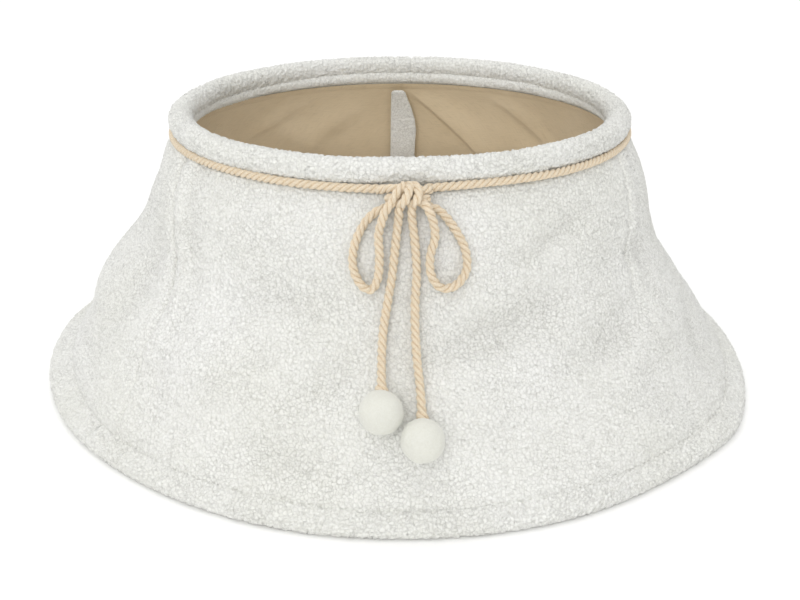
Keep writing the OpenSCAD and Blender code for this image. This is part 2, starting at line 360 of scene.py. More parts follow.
def share_down(z):
    """0 at the neck, 1 at the foot of the wall."""
    return np.clip((NECK[1] - z) / (NECK[1] - FOOT[1]), 0, 1)


# How the ring leaves a true circle: angle, width in degrees, distance in millimetres
HEM_SWELLS = [(-108, 19, 15), (-84, 10, 2), (-42, 22, -5), (0, 24, -0.5), (40, 14, -3.5), (60, 8, 3),
              (88, 18, -4), (118, 18, 4)]
# The wall's foot stands further in than the hem band there
FOOT_SWELLS = [(-80, 34, -9), (78, 30, -5)]


def swells(a, table):
    """Sum of a table's swells at each angle, in metres."""
    return sum(amount * MM * np.exp(-(turn(a, angle) / width) ** 2) for angle, width, amount in table)


def hem_ring(a):
    """How far the hem band's low edge leaves its circle."""
    return swells(a, HEM_SWELLS) * away_from_opening(a)


def foot_ring(a):
    """The same for the wall's foot, where the hem band's high edge meets it."""
    return hem_ring(a) + swells(a, FOOT_SWELLS)


def ring_offset(a, z):
    """The wall swells on the left, draws in on the right, and meets the uneven hem."""
    down = share_down(z)
    left = 8.5 * MM * np.exp(-(turn(a, -95) / 42) ** 2 - ((z - 92 * MM) / (42 * MM)) ** 2)
    right = -8.5 * MM * np.exp(-(turn(a, 95) / 42) ** 2 - ((z - 84 * MM) / (42 * MM)) ** 2)
    return foot_ring(a) * down ** 3 + left + right


def smooth_step(t):
    t = np.clip(t, 0, 1)
    return t * t * (3 - 2 * t)


def seam_at(side, z):
    """Angle of a side seam at a height. Both lean back towards the rim."""
    if side == "left":
        return -49 - 12 * smooth_step((z - 100 * MM) / (85 * MM))
    return 53 + 10 * smooth_step((z - 90 * MM) / (110 * MM))


def panel_angles(section, z, cols):
    """Angles (rows, cols) across a panel for the heights of its rows."""
    t = np.linspace(0, 1, cols)[None, :]
    z = z[:, None]
    left, right = seam_at("left", z), seam_at("right", z)
    back = np.full(z.shape, OPENING)
    low, high = {"front": (left, right), "left": (back - 360, left), "right": (right, back)}[section]
    return low + (high - low) * t


def seam_pull(a, z, radius):
    """Depth of the side seams, with the puckers that the stitches draw. They fade out downwards."""
    total = 0
    fade = 0.35 + 0.65 * smooth_step((z - 80 * MM) / (50 * MM))
    for side, share in (("left", 1.0), ("right", 0.55)):
        d = np.radians(turn(a, seam_at(side, z))) * radius
        strength = share * fade
        pucker = 0.5 + 0.5 * np.sin(z / (2.6 * MM) + 1.7 * np.sin(z / (9 * MM)))
        crease = -3.6 * np.exp(-(d / (2.0 * MM)) ** 2) - 2.0 * pucker * np.exp(-(d / (7 * MM)) ** 2)
        ridge = 1.8 * np.exp(-((d - 11 * MM) / (7 * MM)) ** 2)
        ridge = ridge - 2.2 * np.exp(-((d - 27 * MM) / (10 * MM)) ** 2)
        ridge = ridge + 1.2 * np.exp(-((d + 11 * MM) / (6 * MM)) ** 2)
        total = total + (crease + ridge) * strength * MM
    return total


def foot_groove(line):
    """The wall dips where the hem band is stitched to it."""
    left = np.linspace(length_of(line), 0, len(line))[:, None]
    return -0.7 * MM * np.exp(-((left - 2.5 * MM) / (3.5 * MM)) ** 2)


def wall_line(rows):
    """Points down the outer face of the cloth, and the outward direction at each."""
    shape = np.array(WALL_SHAPE)
    spread = NECK[0] + (FOOT[0] - NECK[0]) * shape[:, 1]
    height = FOOT[1] + (NECK[1] - FOOT[1]) * shape[:, 0]
    tuck = np.array([[RIM_R + 4 * MM, RIM_Z - 7 * MM], [RIM_R + 5.6 * MM, RIM_Z - 11 * MM],
                     [RIM_R + 8.6 * MM, RIM_Z - 14.6 * MM]])
    line = smooth_path(np.vstack([tuck, np.stack([spread, height], 1)[1:]]), 0.4 * MM)
    line = even(line, length_of(line) / (rows - 1))
    run = np.gradient(line, axis=0)
    run /= np.linalg.norm(run, axis=1)[:, None]
    return line, np.stack([-run[:, 1], run[:, 0]], 1)


def around(radius, angles, z):
    """Points (..., 3) at a radius, an angle in degrees and a height."""
    a = np.radians(angles)
    return np.stack(np.broadcast_arrays(radius * np.sin(a), -radius * np.cos(a), z), -1)


def outward_at(angles, out):
    """Outward directions (rows, cols, 3) for outline directions (rows, 2)."""
    return around(out[:, 0][:, None], angles, out[:, 1][:, None])


def wall_grid(section, rows, cols, depth, seams=1.0):
    """Grid of points on the wall of a section, at a depth under its outer face. It also gives the
    outward directions, the angles, the outline, and how hollow the wall is there, from 0. seams is
    how much of the side seams' and the foot's stitching shows through."""
    line, out = wall_line(rows)
    a = panel_angles(section, line[:, 1], cols)
    r, z = line[:, 0][:, None], line[:, 1][:, None]
    down = share_down(z)
    held = np.clip((down - 0.02) / 0.12, 0, 1) * np.clip((1 - down) / 0.08, 0, 1)
    form = relief(a, z, r) * held
    stitched = seam_pull(a, z, r) * away_from_opening(a) + foot_groove(line)
    lift = form + seams * stitched - depth
    # The boucle material paints shade where this hollow measure is high.
    hollow = np.clip(-form / (5 * MM), 0, 1) + np.clip(-stitched / (4 * MM), 0, 1)
    r2 = r + out[:, 0][:, None] * lift + ring_offset(a, z)
    z2 = z + out[:, 1][:, None] * lift
    return around(r2, a, z2), outward_at(a, out), a, line, hollow


def edge_curl(angles, radius, reach):
    """How far cloth rolls under near the back opening."""
    d = np.clip(np.radians(np.abs(turn(angles, OPENING))) * radius / reach, 0, 1)
    return reach * (1 - np.sqrt(1 - (1 - d) ** 2))


# ---------------------------------------------------------------- materials

def linear(r, g, b):
    """Linear colour from 0-255 screen values."""
    return tuple(((c / 255 + 0.055) / 1.055) ** 2.4 for c in (r, g, b)) + (1,)


class Nodes:
    """Short names for making a material's nodes and links."""

    def __init__(self, name, roughness, sheen=0.0):
        self.material = bpy.data.materials.new(name)
        self.material.use_nodes = True
        self.tree = self.material.node_tree
        self.shader = self.tree.nodes["Principled BSDF"]
        self.shader.inputs["Roughness"].default_value = roughness
        self.shader.inputs["Sheen Weight"].default_value = sheen
        self.place = self.tree.nodes.new("ShaderNodeTexCoord").outputs["Object"]

    def give(self, socket, value):
        """Links a socket to another one, or sets it to a plain value."""
        if isinstance(value, bpy.types.NodeSocket):
            self.tree.links.new(value, socket)
        else:
            socket.default_value = value

    def add(self, kind, **values):
        """A new node. values are its inputs and its settings."""
        node = self.tree.nodes.new("ShaderNode" + kind)
        for key, value in values.items():
            if key in node.inputs:
                self.give(node.inputs[key], value)
            else:
                setattr(node, key, value)
        return node

    def mark(self, name):
        """Numbers held on the mesh's points."""
        return self.add("Attribute", attribute_name=name).outputs["Fac"]

    def noise(self, scale, detail=2.0, vector=None):
        return self.add("TexNoise", Vector=vector or self.place, Scale=scale, Detail=detail).outputs["Fac"]

    def cells(self, scale, feature="F1", vector=None):
        node = self.add("TexVoronoi", feature=feature, Vector=vector or self.place, Scale=scale)
        return node.outputs["Distance"]

    def reach(self, value, low, high, to_low=0.0, to_high=1.0):
        """A value spread softly from one range to another."""
        node = self.add("MapRange", interpolation_type="SMOOTHSTEP")
        for key, number in (("From Min", low), ("From Max", high), ("To Min", to_low), ("To Max", to_high)):
            node.inputs[key].default_value = number
        self.tree.links.new(value, node.inputs["Value"])
        return node.outputs["Result"]

    def warped(self, scale, amount):
        """Object coordinates, pushed about by noise."""
        push = self.add("TexNoise", Vector=self.place, Scale=scale, Detail=1.0).outputs["Color"]
        node = self.add("VectorMath", operation="MULTIPLY_ADD")
        self.tree.links.new(push, node.inputs[0])
        node.inputs[1].default_value = (amount,) * 3
        self.tree.links.new(self.place, node.inputs[2])
        return node.outputs[0]

    def math(self, operation, *values):
        node = self.add("Math", operation=operation)
        for socket, value in zip(node.inputs, values):
            self.give(socket, value)
        return node.outputs[0]

    def ramp(self, value, stops):
        node = self.add("ValToRGB", Fac=value)
        ramp = node.color_ramp
        while len(ramp.elements) < len(stops):
            ramp.elements.new(0.5)
        for element, (at, colour) in zip(ramp.elements, stops):
            element.position = at
            element.color = colour
        return node.outputs["Color"]

    def mix(self, fac, a, b, kind="MIX"):
        node = self.add("Mix", data_type="RGBA", blend_type=kind)
        for index, value in ((0, fac), (6, a), (7, b)):
            self.give(node.inputs[index], value)
        return node.outputs[2]

    def colour(self, value):
        self.tree.links.new(value, self.shader.inputs["Base Color"])

    def rough(self, value):
        self.tree.links.new(value, self.shader.inputs["Roughness"])

    def bump(self, height, distance, strength=1.0):
        """Adds bump on top of what the material has."""
        before = self.shader.inputs["Normal"].links
        node = self.add("Bump", Height=height, Distance=distance, Strength=strength)
        if before:
            self.tree.links.new(before[0].from_socket, node.inputs["Normal"])
        self.tree.links.new(node.outputs["Normal"], self.shader.inputs["Normal"])


def boucle_material(name, share):
    """Curly white pile, with shade painted into its dips, cracks and hollows. share is how much of the
    lightest cloth's light it gives back; the lighter copy for the pieces inside the ring is painted light
    against the shade there.
    """
    m = Nodes(name, 0.95, sheen=0.2)
    curled = m.warped(560, 1.9 * MM)
    knots = m.reach(m.cells(370, "DISTANCE_TO_EDGE", curled), 0.0, 0.1)
    curls = m.reach(m.cells(800, "DISTANCE_TO_EDGE", curled), 0.0, 0.16)
    strands = m.noise(2800, 3)
    # How much shade is painted into the cracks between the curls: it varies with noise and grows where the
    # wall is hollow.
    crack_shade = m.reach(m.noise(26, 3), 0.36, 0.62, 0.55, 1.0)
    crack_shade = m.math("MULTIPLY_ADD", m.mark("hollow"), 0.5, crack_shade)
    # Painted shade: the colour darkens where the curls sit low, in the dips between them.
    tone = m.ramp(m.mark("pile"), [(0.0, linear(232, 231, 225)), (0.3, linear(243, 243, 238)),
                                   (0.6, linear(248, 248, 244)), (1.0, linear(250, 250, 247))])
    # Painted shade in the dents and along the stitched seams, where the wall is hollow.
    tone = m.mix(m.math("MULTIPLY", m.mark("hollow"), 0.05), tone, linear(150, 148, 140))
    # Painted shade in the cracks between the clumps and the curls.
    for gap, depth in ((knots, 0.24), (curls, 0.07)):
        dark = m.math("MULTIPLY", m.math("SUBTRACT", 1.0, gap), m.math("MULTIPLY", crack_shade, depth))
        tone = m.mix(dark, tone, linear(120, 116, 104))
    patch = m.ramp(m.noise(9, 2), [(0.3, linear(248, 248, 245)), (0.7, (1, 1, 1, 1))])
    tone = m.mix(1.0, tone, patch, "MULTIPLY")
    m.colour(m.mix(1.0, tone, (share, share, share, 1), "MULTIPLY"))
    m.bump(strands, 0.15 * MM, 0.5)
    m.bump(curls, 0.3 * MM, 0.5)
    m.bump(knots, 0.5 * MM, 0.6)
    return m.material


def lining_material():
    m = Nodes("lining", 0.82, sheen=0.15)
    uv = m.add("UVMap", uv_map="cloth").outputs["UV"]
    split = m.add("SeparateXYZ", Vector=uv)
    thread = 0.42 * MM
    turns = 2 * math.pi / thread
    across = m.math("SINE", m.math("MULTIPLY", split.outputs[0], turns))
    along = m.math("SINE", m.math("MULTIPLY", split.outputs[1], turns))
    weave = m.math("MULTIPLY", across, along)
    slub_up = m.add("Mapping", Vector=uv, Scale=(2200, 90, 1)).outputs[0]
    slub_across = m.add("Mapping", Vector=uv, Scale=(90, 2200, 1)).outputs[0]
    streak = m.math("ADD", m.noise(1, 2, slub_up), m.noise(1, 2, slub_across))
    base = m.ramp(m.noise(14, 4), [(0.3, linear(222, 203, 170)), (0.7, linear(232, 214, 183))])
    shade = m.ramp(streak, [(0.7, linear(222, 220, 214)), (1.25, (1, 1, 1, 1))])
    m.colour(m.mix(0.6, base, shade, "MULTIPLY"))
    m.bump(weave, 0.12 * MM, 0.5)
    m.bump(streak, 0.1 * MM, 0.4)
    return m.material


def cord_material():
    m = Nodes("twisted_cotton", 0.85, sheen=0.2)
    uv = m.add("UVMap", uv_map="cloth").outputs["UV"]
    split = m.add("SeparateXYZ", Vector=uv)
    yarns = 5
    phase = m.math("ADD", m.math("MULTIPLY", split.outputs[0], 2 * math.pi * yarns),
                   m.math("MULTIPLY", split.outputs[1], 900.0))
    wander = m.math("MULTIPLY", m.noise(500, 2), 5.0)
    lines = m.math("SINE", m.math("ADD", phase, wander))
    lines = m.math("MULTIPLY_ADD", lines, 0.5, 0.5)
    fibre = m.noise(1900, 3)
    # Painted shade in the grooves between the strands, away from their crowns.
    groove_shade = m.ramp(m.mark("crown"), [(0.0, linear(196, 160, 116)), (0.08, linear(234, 213, 183)),
                                    (0.35, linear(242, 228, 204)), (1.0, linear(245, 233, 212))])
    # Painted shade along the fine lines between the yarns.
    shade = m.ramp(lines, [(0.0, linear(214, 198, 172)), (0.3, (1, 1, 1, 1))])
    tone = m.mix(0.7, groove_shade, shade, "MULTIPLY")
    mottle = m.ramp(fibre, [(0.34, linear(228, 214, 192)), (0.56, (1, 1, 1, 1))])
    m.colour(m.mix(0.75, tone, mottle, "MULTIPLY"))
    m.bump(lines, 0.35 * MM, 0.8)
    m.bump(fibre, 0.2 * MM, 0.6)
    return m.material


def felt_material():
    m = Nodes("felt", 0.92, sheen=0.35)
    tangle = m.noise(900, 4)
    streak = m.noise(1, 3, m.add("Mapping", Vector=m.place, Scale=(700, 700, 2400)).outputs[0])
    base = m.ramp(m.noise(60, 3), [(0.3, linear(212, 212, 204)), (0.7, linear(217, 217, 208))])
    dark = m.ramp(tangle, [(0.3, linear(246, 245, 241)), (0.6, (1, 1, 1, 1))])
    m.colour(m.mix(0.6, base, dark, "MULTIPLY"))
    m.bump(tangle, 0.25 * MM, 0.5)
    m.bump(streak, 0.15 * MM, 0.4)
    return m.material


def interlining_material():
    m = Nodes("needled_interlining", 0.95)
    web = m.noise(700, 4)
    m.colour(m.ramp(web, [(0.3, linear(214, 213, 206)), (0.7, linear(236, 236, 231))]))
    m.bump(web, 0.3 * MM, 0.6)
    return m.material


def plastic_material(name, dark, light, roughness):
    m = Nodes(name, roughness)
    grain = m.noise(260, 3)
    m.colour(m.ramp(grain, [(0.3, linear(*dark)), (0.7, linear(*light))]))
    m.rough(m.math("MULTIPLY_ADD", grain, 0.2, roughness - 0.1))
    m.bump(m.noise(1500, 2), 0.05 * MM, 0.4)
    return m.material


def tape_material():
    m = Nodes("hook_and_loop", 0.7)
    tufts = m.cells(1100)
    m.colour(m.ramp(tufts, [(0.0, linear(246, 246, 243)), (0.7, linear(206, 206, 200))]))
    m.bump(tufts, -0.5 * MM, 0.9)
    return m.material


def floor_material():
    m = Nodes("pale_floor", 0.9)
    m.colour(m.ramp(m.noise(3, 2), [(0.3, linear(249, 249, 248)), (0.7, linear(251, 251, 250))]))
    return m.material


BOUCLE = boucle_material("boucle", 0.935)
# Lighter copy of the boucle for the lip and the flap inside the ring: painted light against the shade that
# falls there.
BOUCLE_PAINTED_LIGHT = boucle_material("boucle_inner_painted_light", 1.0)
LINING = lining_material()
CORD = cord_material()
FELT = felt_material()
INTERLINING = interlining_material()
HOOP = plastic_material("hoop_plastic", (214, 214, 208), (228, 228, 222), 0.45)
CAP = plastic_material("cap_plastic", (44, 44, 45), (56, 56, 57), 0.5)
TAPE = tape_material()

# ---------------------------------------------------------------- placing pieces on bodies


def move_with(piece, section):
    """The front rides its body. A side stays where it is, with its place baked into its points."""
    if section == "front":
        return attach(piece, "front")
    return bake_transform(piece)


def place(piece, section, material, slot, *nodes):
    """Gives a ring piece its material, moves it as move_with does, and hides the CAD nodes it stands for.
    """
    piece.data.materials.append(material)
    move_with(piece, section)
    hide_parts(*nodes)
    return piece


# ---------------------------------------------------------------- cloth pieces

def cols_for(span, radius, step):
    """How many points fit along an arc."""
    return max(8, int(math.radians(abs(span[1] - span[0])) * radius / step))


PILE_STEP = 1.08 * MM
PILE_RISE = 2.3 * MM              # curls on the roll and the hem
WALL_RISE = 1.9 * MM              # and on the wall
LIP_RISE = 1.4 * MM               # and on the lip


def with_pile(points, outward, rise):
    """Points moved out by the boucle's curls, and the height of the curls there."""
    height = pile(points)
    return points + outward * ((height - 0.6) * rise)[..., None], height


def arc_of(section):
    low, high = SECTORS[section]
    return math.radians(abs(high - low))


def outer_panel(section):
    """Boucle panel of the wall."""
    line, _ = wall_line(50)
    rows = int(length_of(line) / PILE_STEP)
    cols = cols_for(SECTORS[section], 0.236, PILE_STEP)
    points, outward, angles, line, hollow = wall_grid(section, rows, cols, SURFACE)
    curl = edge_curl(angles, line[:, 0][:, None], 5 * MM)
    points = points - outward * curl[..., None]
    points, height = with_pile(points, outward, WALL_RISE)
    obj = grid_piece("boucle_wall_" + section, points, pile=height, hollow=hollow)
    place(obj, section, BOUCLE, "boucle", "outer_panel_" + section)
    return obj


def flat_area(section):
    """Area that a panel was cut to: a ring sector with the wall's own length."""
    line, _ = wall_line(60)
    mid = (line[1:, 0] + line[:-1, 0]) / 2
    return float((mid * np.linalg.norm(np.diff(line, axis=0), axis=1)).sum() * arc_of(section))


def panel_flat(section):
    """Width and length of the rectangle that the panel is cut from."""
    return (arc_of(section) * HEM_R, length_of(wall_line(60)[0]))


def interlining(section):
    """Stiff layer between the boucle and the lining."""
    step = 3 * MM
    rows, cols = int(0.22 / step), cols_for(SECTORS[section], 0.23, step)
    outer, outward, *_ = wall_grid(section, rows, cols, DEPTH_INTERLINING, 0.5)
    inner = outer - outward * 1.4 * MM
    points = np.concatenate([outer, inner[::-1]], 0)
    obj = grid_piece("interlining_wall_" + section, points, wrap=True, ends="strip")
    return place(obj, section, INTERLINING, "interlining", "interlining_" + section)


# Folds of the lining, standing in from it: angle, height, half length, half width above, half
# width below, tilt, depth. The tilt is up to the left, seen from the middle of the skirt.
CREASES = [
    (164, 157, 50, 15, 2.6, 43, 6.0), (140, 170, 44, 12, 6, 36, 3.0), (150, 130, 40, 14, 10, 12, 2.0),
    (-160, 160, 34, 12, 9, -32, 2.4), (-140, 172, 36, 9, 6, -24, 2.2), (-118, 165, 36, 10, 10, 20, 2.0),
    (118, 158, 40, 12, 8, 20, 2.4), (-100, 120, 40, 14, 10, 10, 2.0), (100, 120, 40, 14, 14, -16, 2.0),
    (0, 140, 50, 12, 12, 12, 2.0), (-40, 110, 40, 12, 12, -20, 2.2), (45, 120, 44, 12, 12, 24, 2.0)]


LINING_TOP = RIM_Z - 8.5 * MM     # hidden behind the lip


def lining(section):
    """Woven panel inside the wall, with its folds."""
    step = 1.5 * MM
    line, _ = wall_line(60)
    rows, cols = int(length_of(line) / step), cols_for(SECTORS[section], 0.225, step)
    points, outward, a, line, _ = wall_grid(section, rows, cols, DEPTH_LINING, 0.5)
    z, r = line[:, 1][:, None], line[:, 0][:, None]
    fold = np.zeros(points.shape[:2])
    for angle, height, half_long, above, below, tilt, depth in CREASES:
        x = np.radians(turn(a, angle)) * r
        y = z - height * MM
        c, s = math.cos(math.radians(tilt)), math.sin(math.radians(tilt))
        u = (x * c + y * s) / (half_long * MM)
        v = -x * s + y * c
        v = v / (np.where(v > 0, above, below) * MM)
        fold = fold + depth * MM * np.exp(-u * u - v * v)
    down = share_down(z)
    fold = fold * np.clip(down / 0.06, 0, 1) * np.clip((1 - down) / 0.1, 0, 1)
    points = points - outward * np.clip(fold, -0.6 * MM, 6 * MM)[..., None]
    run = np.cumsum(np.full(len(line), step))[:, None]
    uv = np.stack(np.broadcast_arrays(np.radians(a) * r, run), -1)
    keep = line[:, 1] < LINING_TOP
    obj = grid_piece("lining_wall_" + section, points[keep], uv=uv[keep])
    return place(obj, section, LINING, "lining", "lining_" + section)


END_OVERLAP = 0.42                # degrees that each stuffed end presses past the opening's middle


def ring_tube(span, radius_at, z_at, offset, out, step, radius, rise, end_round=4 * MM):
    """A tube round the skirt. offset and out are its section's points and outward directions, and
    radius_at and z_at give its centre line at each angle. At the back opening its end is rounded."""
    cols = cols_for(span, radius, step)
    low, high = span
    back_end = None
    if high == OPENING:
        back_end = high = high + END_OVERLAP
    if low == OPENING - 360:
        back_end = low = low - END_OVERLAP
    angles = np.linspace(low, high, cols)[None, :]
    d = 1.0
    if back_end is not None:
        d = np.clip(np.radians(np.abs(angles - back_end)) * radius / end_round, 0, 1)
    swell = 0.25 + 0.75 * np.sqrt(np.clip(1 - (1 - d) ** 2, 0, 1)) * np.ones_like(angles)
    r = radius_at(angles) + offset[:, 0][:, None] * swell
    z = z_at(angles) + offset[:, 1][:, None] * swell
    points = around(r, angles, z)
    return with_pile(points, outward_at(angles, out), rise)


def rim_centre(angles):
    """The roll's centre line wanders a little, as a hand-rolled edge does."""
    place_on = around(np.full(angles.shape, RIM_R), angles, np.full(angles.shape, 0.0))
    wander = soft_noise(place_on, 60 * MM, 5)
    rise = soft_noise(place_on, 45 * MM, 6)
    back = 1.4 * MM * np.exp(-(turn(angles, 180) / 60) ** 2)
    return RIM_R + 0.8 * MM * wander + back, RIM_Z + 0.5 * MM * rise - 0.3 * MM + back


def rim_cover(section):
    """The thick roll of boucle round the rim."""
    out = circle(56)
    points, height = ring_tube(
        SECTORS[section], lambda a: rim_centre(a)[0], lambda a: rim_centre(a)[1],
        out * (ROLL_R - 0.2 * MM), out, PILE_STEP, RIM_R, PILE_RISE)
    obj = grid_piece("boucle_rim_" + section, points, wrap=True, ends="fan", pile=height)
    return place(obj, section, BOUCLE, "boucle", "rim_cover_" + section)


def hem_section(count):
    """A rounded strip that leans in: points about its low centre, outward directions, and how far
    each point belongs to the low edge."""
    ring = circle(count * 2)
    shift = np.where((ring @ HEM_SPAN)[:, None] > 0, HEM_SPAN, 0)
    line = ring * (HEM_HALF - 0.2 * MM) + shift
    closed = np.vstack([line, line[:1]])
    line = even(closed, length_of(closed) / count)[:count]
    run = np.roll(line, -1, 0) - np.roll(line, 1, 0)
    run /= np.linalg.norm(run, axis=1)[:, None]
    high = np.clip(line @ HEM_SPAN / (HEM_SPAN @ HEM_SPAN), 0, 1)
    return line, np.stack([run[:, 1], -run[:, 0]], 1), 1 - high


def hem_casing(section):
    """The band of boucle that stands on the floor."""
    offset, out, low = hem_section(62)
    low = low[:, None]

    def radius_at(angles):
        return HEM_LOW[0] - 0.4 * MM + low * hem_ring(angles) + (1 - low) * foot_ring(angles)

    points, height = ring_tube(
        SECTORS[section], radius_at, lambda a: np.full(a.shape, HEM_LOW[1]),
        offset, out, PILE_STEP, HEM_R, PILE_RISE)
    points[..., 2] = np.maximum(points[..., 2], 0)
    obj = grid_piece("boucle_hem_" + section, points, wrap=True, ends="fan", pile=height)
    return place(obj, section, BOUCLE, "boucle", "hem_casing_" + section)


def rim_facing(section):
    """The light lip of cloth turned in under the roll. Its boucle is the lighter copy, painted light
    against the shade inside the ring.
    """
    half = np.array([3.8, 5.0]) * MM
    out = circle(30)

    def z_at(angles):
        wave = soft_noise(around(np.full(angles.shape, RIM_R), angles, 0 * angles), 30 * MM, 8)
        return RIM_Z - 7.6 * MM + 0.9 * MM * wave

    points, height = ring_tube(
        SECTORS[section], lambda a: np.full(a.shape, RIM_R - 4.6 * MM), z_at,
        out * half, out, PILE_STEP, RIM_R, LIP_RISE, 3 * MM)
    obj = grid_piece("boucle_lip_" + section, points, wrap=True, ends="fan", pile=height)
    return place(obj, section, BOUCLE_PAINTED_LIGHT, "boucle", "rim_facing_" + section)


HOOP_SHORT = 1.2                  # degrees that the hoops stop short of the opening, for their caps


def hoop(name, section, radius_of, z_of, hoop_r, node):
    """Springy rod inside the rim or the hem."""
    low, high = SECTORS[section]
    if section == "left":
        low = low + HOOP_SHORT
    if section == "right":
        high = high - HOOP_SHORT
    angles = np.linspace(low, high, 120)
    ring = circle(16) * hoop_r
    r = radius_of(angles)[None, :] + ring[:, :1]
    z = z_of(angles)[None, :] + ring[:, 1:]
    obj = grid_piece(name + section, around(r, angles[None, :], z), wrap=True, ends="fan")
    return place(obj, section, HOOP, "hoop_plastic", node + section)


# The flap's free edge: heights from the floor and angles from the opening
FLAP_EDGE_HEIGHTS = np.array([90, 112, 126, 140, 151, 162, 174, 186, 198]) * MM
FLAP_EDGE = np.array([-1.6, -1.0, -0.8, -1.1, -1.4, -1.1, -0.1, 1.2, 2.5])
FLAP_REACH = 6.2                  # degrees that the flap laps past the opening


def closure_flap():
    """Padded strip of boucle that laps inside the left half, from the opening's right side."""
    line, out = wall_line(400)
    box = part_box("closure_flap")
    mid = line - out * (DEPTH_FLAP + FLAP_THICK / 2)
    keep = (mid[:, 1] < box[1].z + 8 * MM) & (mid[:, 1] > box[0].z)
    mid, out = mid[keep], out[keep]
    mid = even(mid, PILE_STEP)
    share = np.linspace(0, 1, len(mid))
    out = np.stack([np.interp(share, np.linspace(0, 1, len(out)), out[:, k]) for k in (0, 1)], 1)
    left = OPENING + FLAP_REACH
    right = OPENING + np.interp(mid[:, 1], FLAP_EDGE_HEIGHTS, FLAP_EDGE)
    # section round the strip: u across from -1 to 1, v out from -1 to 1
    count = 64
    x, y = circle(count).T
    u = np.sign(x) * np.abs(x) ** 0.45
    v = np.sign(y) * np.abs(y) ** 0.75
    end = np.sqrt(np.clip(1 - (1 - np.clip(np.minimum(share, 1 - share) * 30, 0, 1)) ** 2, 0, 1))
    middle, half = (right + left) / 2, (left - right) / 2
    angle = middle[None, :] + u[:, None] * (half * (0.6 + 0.4 * end))[None, :]
    lift = v[:, None] * (FLAP_THICK / 2 - 0.3 * MM) * (0.15 + 0.85 * end[None, :])
    r = mid[None, :, 0] + out[None, :, 0] * lift
    z = mid[None, :, 1] + out[None, :, 1] * lift
    points = around(r, angle, z)
    normal = around(out[None, :, 0], angle, out[None, :, 1]) * np.sign(v)[:, None, None]
    # the pile stands up only on the side that shows, away from the tapes
    rise = np.where(v < 0, 0.4 * PILE_RISE, 0.2 * MM)[:, None] * np.ones_like(angle)
    points, height = with_pile(points, normal, rise)
    # Its pile marks start at 0.6, in the light part of the boucle's tone: painted light against the shade
    # inside the ring.
    obj = grid_piece("boucle_flap", points, wrap=True, ends="fan", pile=0.6 + 0.4 * height)
    return place(obj, "right", BOUCLE_PAINTED_LIGHT, "boucle", "closure_flap")


# ---------------------------------------------------------------- rope

STRANDS = 3
LAY = 15.5 * MM                   # length of one full turn of the twist
ROPE_R = CORD_D / 2
STRAND_OFF, STRAND_R = 0.43, 0.57   # a strand's distance from the middle and radius, over ROPE_R


def frames_along(line):
    """Two steady side directions along a line."""
    run = np.gradient(line, axis=0)
    run /= np.linalg.norm(run, axis=1)[:, None]
    side = np.cross(run[0], [0.3, -1, 0.2])
    side /= np.linalg.norm(side)
    sides = [side]
    for t in run[1:]:
        side = side - t * (side @ t)
        side = side / np.linalg.norm(side)
        sides.append(side)
    sides = np.array(sides)
    return sides, np.cross(run, sides)


def rope_grid(points, start_turn=0.0, fray=0.0):
    """Twisted rope of three strands: grid of points, how near each is to a strand's crown, and the
    length along it. fray is how much wider its far end is."""
    line = smooth_path(points, (0.75) * MM)
    e1, e2 = frames_along(line)
    length = np.arange(len(line)) * length_of(line) / (len(line) - 1)
    t = np.linspace(0, 2 * np.pi, 30, endpoint=False)
    lobe = (t * STRANDS / (2 * np.pi)) % 1 - 0.5
    off = lobe * 2 * np.pi / STRANDS
    rad = STRAND_OFF * np.cos(off) + np.sqrt(STRAND_R ** 2 - (STRAND_OFF * np.sin(off)) ** 2)
    crown = (rad - rad.min()) / (rad.max() - rad.min())
    wobble = 1 + 0.035 * soft_noise(line, 9 * MM, 41)
    spread = 1 + fray * np.clip((length - length[-1] + 10 * MM) / (6 * MM), 0, 1) ** 2
    twist = start_turn - 2 * np.pi * length / LAY
    theta = t[:, None] + twist[None, :]
    radius = ROPE_R * rad[:, None] * (wobble * spread)[None, :]
    grid = (line[None] + radius[..., None] * (np.cos(theta)[..., None] * e1[None]
                                              + np.sin(theta)[..., None] * e2[None]))
    fuzz = soft_noise(grid, 0.9 * MM, 43) * 0.07 * MM + soft_noise(grid, 2.2 * MM, 44) * 0.1 * MM
    direction = grid - line[None]
    direction /= np.linalg.norm(direction, axis=-1)[..., None]
    grid = grid + direction * fuzz[..., None]
    crowns = np.broadcast_to(crown[:, None], grid.shape[:2])
    return grid, crowns, length


def rope_mesh(name, paths, fray=0.0):
    """One mesh of closed ropes, one for each path."""
    verts, quads, caps, uvs, crowns = [], [], [], [], []
    start = 0
    for k, path in enumerate(paths):
        grid, crown, length = rope_grid(path, 1.3 * k, fray)
        rows, cols = crown.shape
        faces = grid_faces(rows, cols, True)
        i = faces[:, 0] // cols
        j = faces[:, 0] % cols
        u = np.stack([i, i + 1, i + 1, i], 1) * STRANDS / rows
        v = length[np.stack([j, j, j + 1, j + 1], 1)]
        middles, ends = fan_caps(grid)
        verts += [grid.reshape(-1, 3), middles]
        crowns += [crown.ravel(), [0.6, 0.6]]
        quads.append(faces + start)
        caps += [end + start for end in ends]
        uvs.append(np.stack([u, v], -1).reshape(-1, 2))
        start = start + rows * cols + 2
    quads, caps = np.concatenate(quads), np.concatenate(caps)
    uv = np.vstack(uvs + [np.zeros((caps.size, 2))])
    obj = build(name, np.vstack(verts), [quads, caps], uv, crown=np.concatenate(crowns))
    obj.data.materials.append(CORD)
    return obj


KNOT_FROM, KNOT_TO = -2.6, 5.2    # angles that the knot takes up
CORD_TUCK = 3.0 * MM              # how far the neck cord presses in, away from the knot
CORD_LIFT = 2.2 * MM              # how far it rises right of the knot


